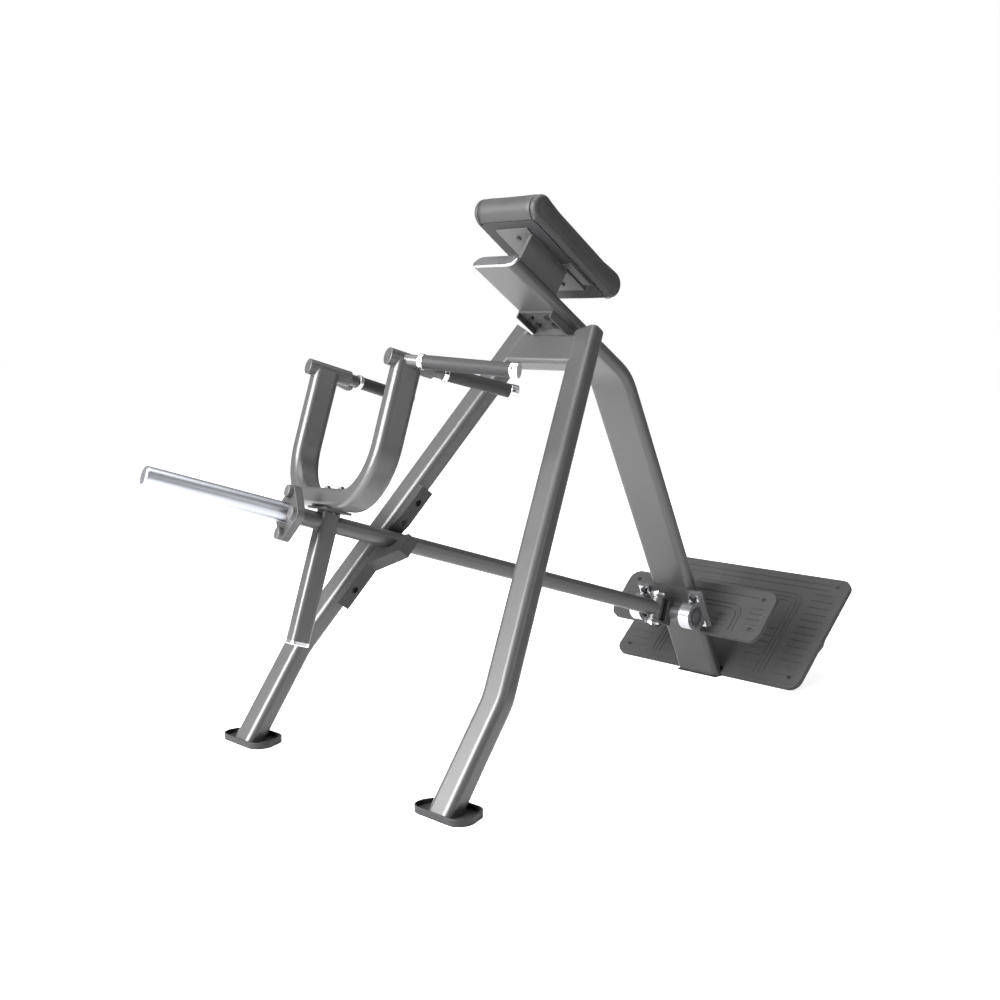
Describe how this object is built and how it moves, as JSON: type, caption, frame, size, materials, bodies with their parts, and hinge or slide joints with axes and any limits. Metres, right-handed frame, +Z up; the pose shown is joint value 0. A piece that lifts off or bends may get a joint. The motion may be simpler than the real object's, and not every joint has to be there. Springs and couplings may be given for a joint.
{
  "type": "incline lever row machine",
  "caption": "Chest-supported incline row: leaning chest pad and foot treads on a bent spine, with a pivoting handle lever resting in a hook on one splayed leg.",
  "frame": {"origin": "on the floor at the centre of the underside of the rear floor pad, under the foot of the main spine", "axes": "+Z up; +X towards the foot treads, so the weight sleeve is at -X; +Y towards the leg that carries the lever's rack hook"},
  "size_m": [1.932, 1.1299, 1.3482],
  "materials": {
    "frame_paint": "satin powder coat",
    "bracket_paint": "satin",
    "knuckle_paint": "satin",
    "hook_paint": "satin powder coat",
    "fastener_steel": "zinc plated",
    "shaft_steel": "ground",
    "bearing_steel": "satin",
    "bright_alloy": "polished",
    "sleeve_chrome": "polished",
    "bush_bronze": "turned",
    "pad_cover": "matte grain",
    "pad_back_board": "matte",
    "grip_rubber": "matte",
    "tread_rubber": "matte ribbed",
    "foot_rubber": "matte",
    "bumper_rubber": "matte"
  },
  "bodies": {
    "frame": {"main_spine": "frame_paint", "spine_top_cap": "bright_alloy", "rack_side_leg": "frame_paint", "rack_side_foot": "foot_rubber", "open_side_leg": "frame_paint", "open_side_foot": "foot_rubber", "foot_bolts": "fastener_steel", "crossmember": "frame_paint", "saddle_bracket": "frame_paint", "saddle_bolts": "fastener_steel", "rear_floor_pad": "foot_rubber", "tread_floor_pad": "foot_rubber", "base_strip": "frame_paint", "chest_pad": "pad_cover", "pad_board": "pad_back_board", "pad_bracket": "bracket_paint", "pad_screws": "fastener_steel", "bearing_mount_plate": "frame_paint", "rack_side_bearing_block": "bright_alloy", "open_side_bearing_block": "bright_alloy", "axle_bearings": "bearing_steel", "block_bolts": "fastener_steel", "hook_bracket": "hook_paint", "hook_bolts": "fastener_steel", "lower_tread": "tread_rubber", "lower_tread_plate": "frame_paint", "upper_tread": "tread_rubber", "upper_tread_plate": "frame_paint", "tread_screws": "fastener_steel", "tread_ribs": "frame_paint", "tread_gussets": "frame_paint"},
    "cradle": {"axle_shaft": "shaft_steel", "axle_tube": "knuckle_paint", "swing_clevis": "knuckle_paint", "king_pin": "shaft_steel", "pin_caps": "bright_alloy", "pin_cap_bolts": "fastener_steel"},
    "lever": {"swing_barrel": "knuckle_paint", "barrel_bushes": "bush_bronze", "lever_tube": "frame_paint", "lever_post": "frame_paint", "post_cap": "bright_alloy", "yoke_tube": "frame_paint", "yoke_bolts": "fastener_steel", "rack_side_stub": "frame_paint", "open_side_stub": "frame_paint", "rack_side_close_bar": "frame_paint", "open_side_close_bar": "frame_paint", "rack_side_wide_bar": "frame_paint", "open_side_wide_bar": "frame_paint", "rack_side_close_grip": "grip_rubber", "open_side_close_grip": "grip_rubber", "rack_side_wide_grip": "grip_rubber", "open_side_wide_grip": "grip_rubber", "grip_rings": "bright_alloy", "grip_end_caps": "bright_alloy", "grip_set_screws": "fastener_steel", "stop_plate": "frame_paint", "stop_bumpers": "bumper_rubber", "weight_sleeve": "sleeve_chrome"}
  },
  "joints": [
    {"name": "lever_pitch", "type": "hinge", "parent": "frame", "child": "cradle", "pos_m": [-0.1701, 0, 0.2105], "axis": [0, 1, 0], "range_deg": [0, 25]},
    {"name": "lever_swing", "type": "hinge", "parent": "cradle", "child": "lever", "pos_m": [-0.21952, 0, 0.22669], "axis": [0.3113, 0, 0.9503], "range_deg": [0, 14.27]}
  ],
  "couplings": [
    {"joint": "lever_swing", "follows": "lever_pitch", "ratio": 0.5708}
  ]
}
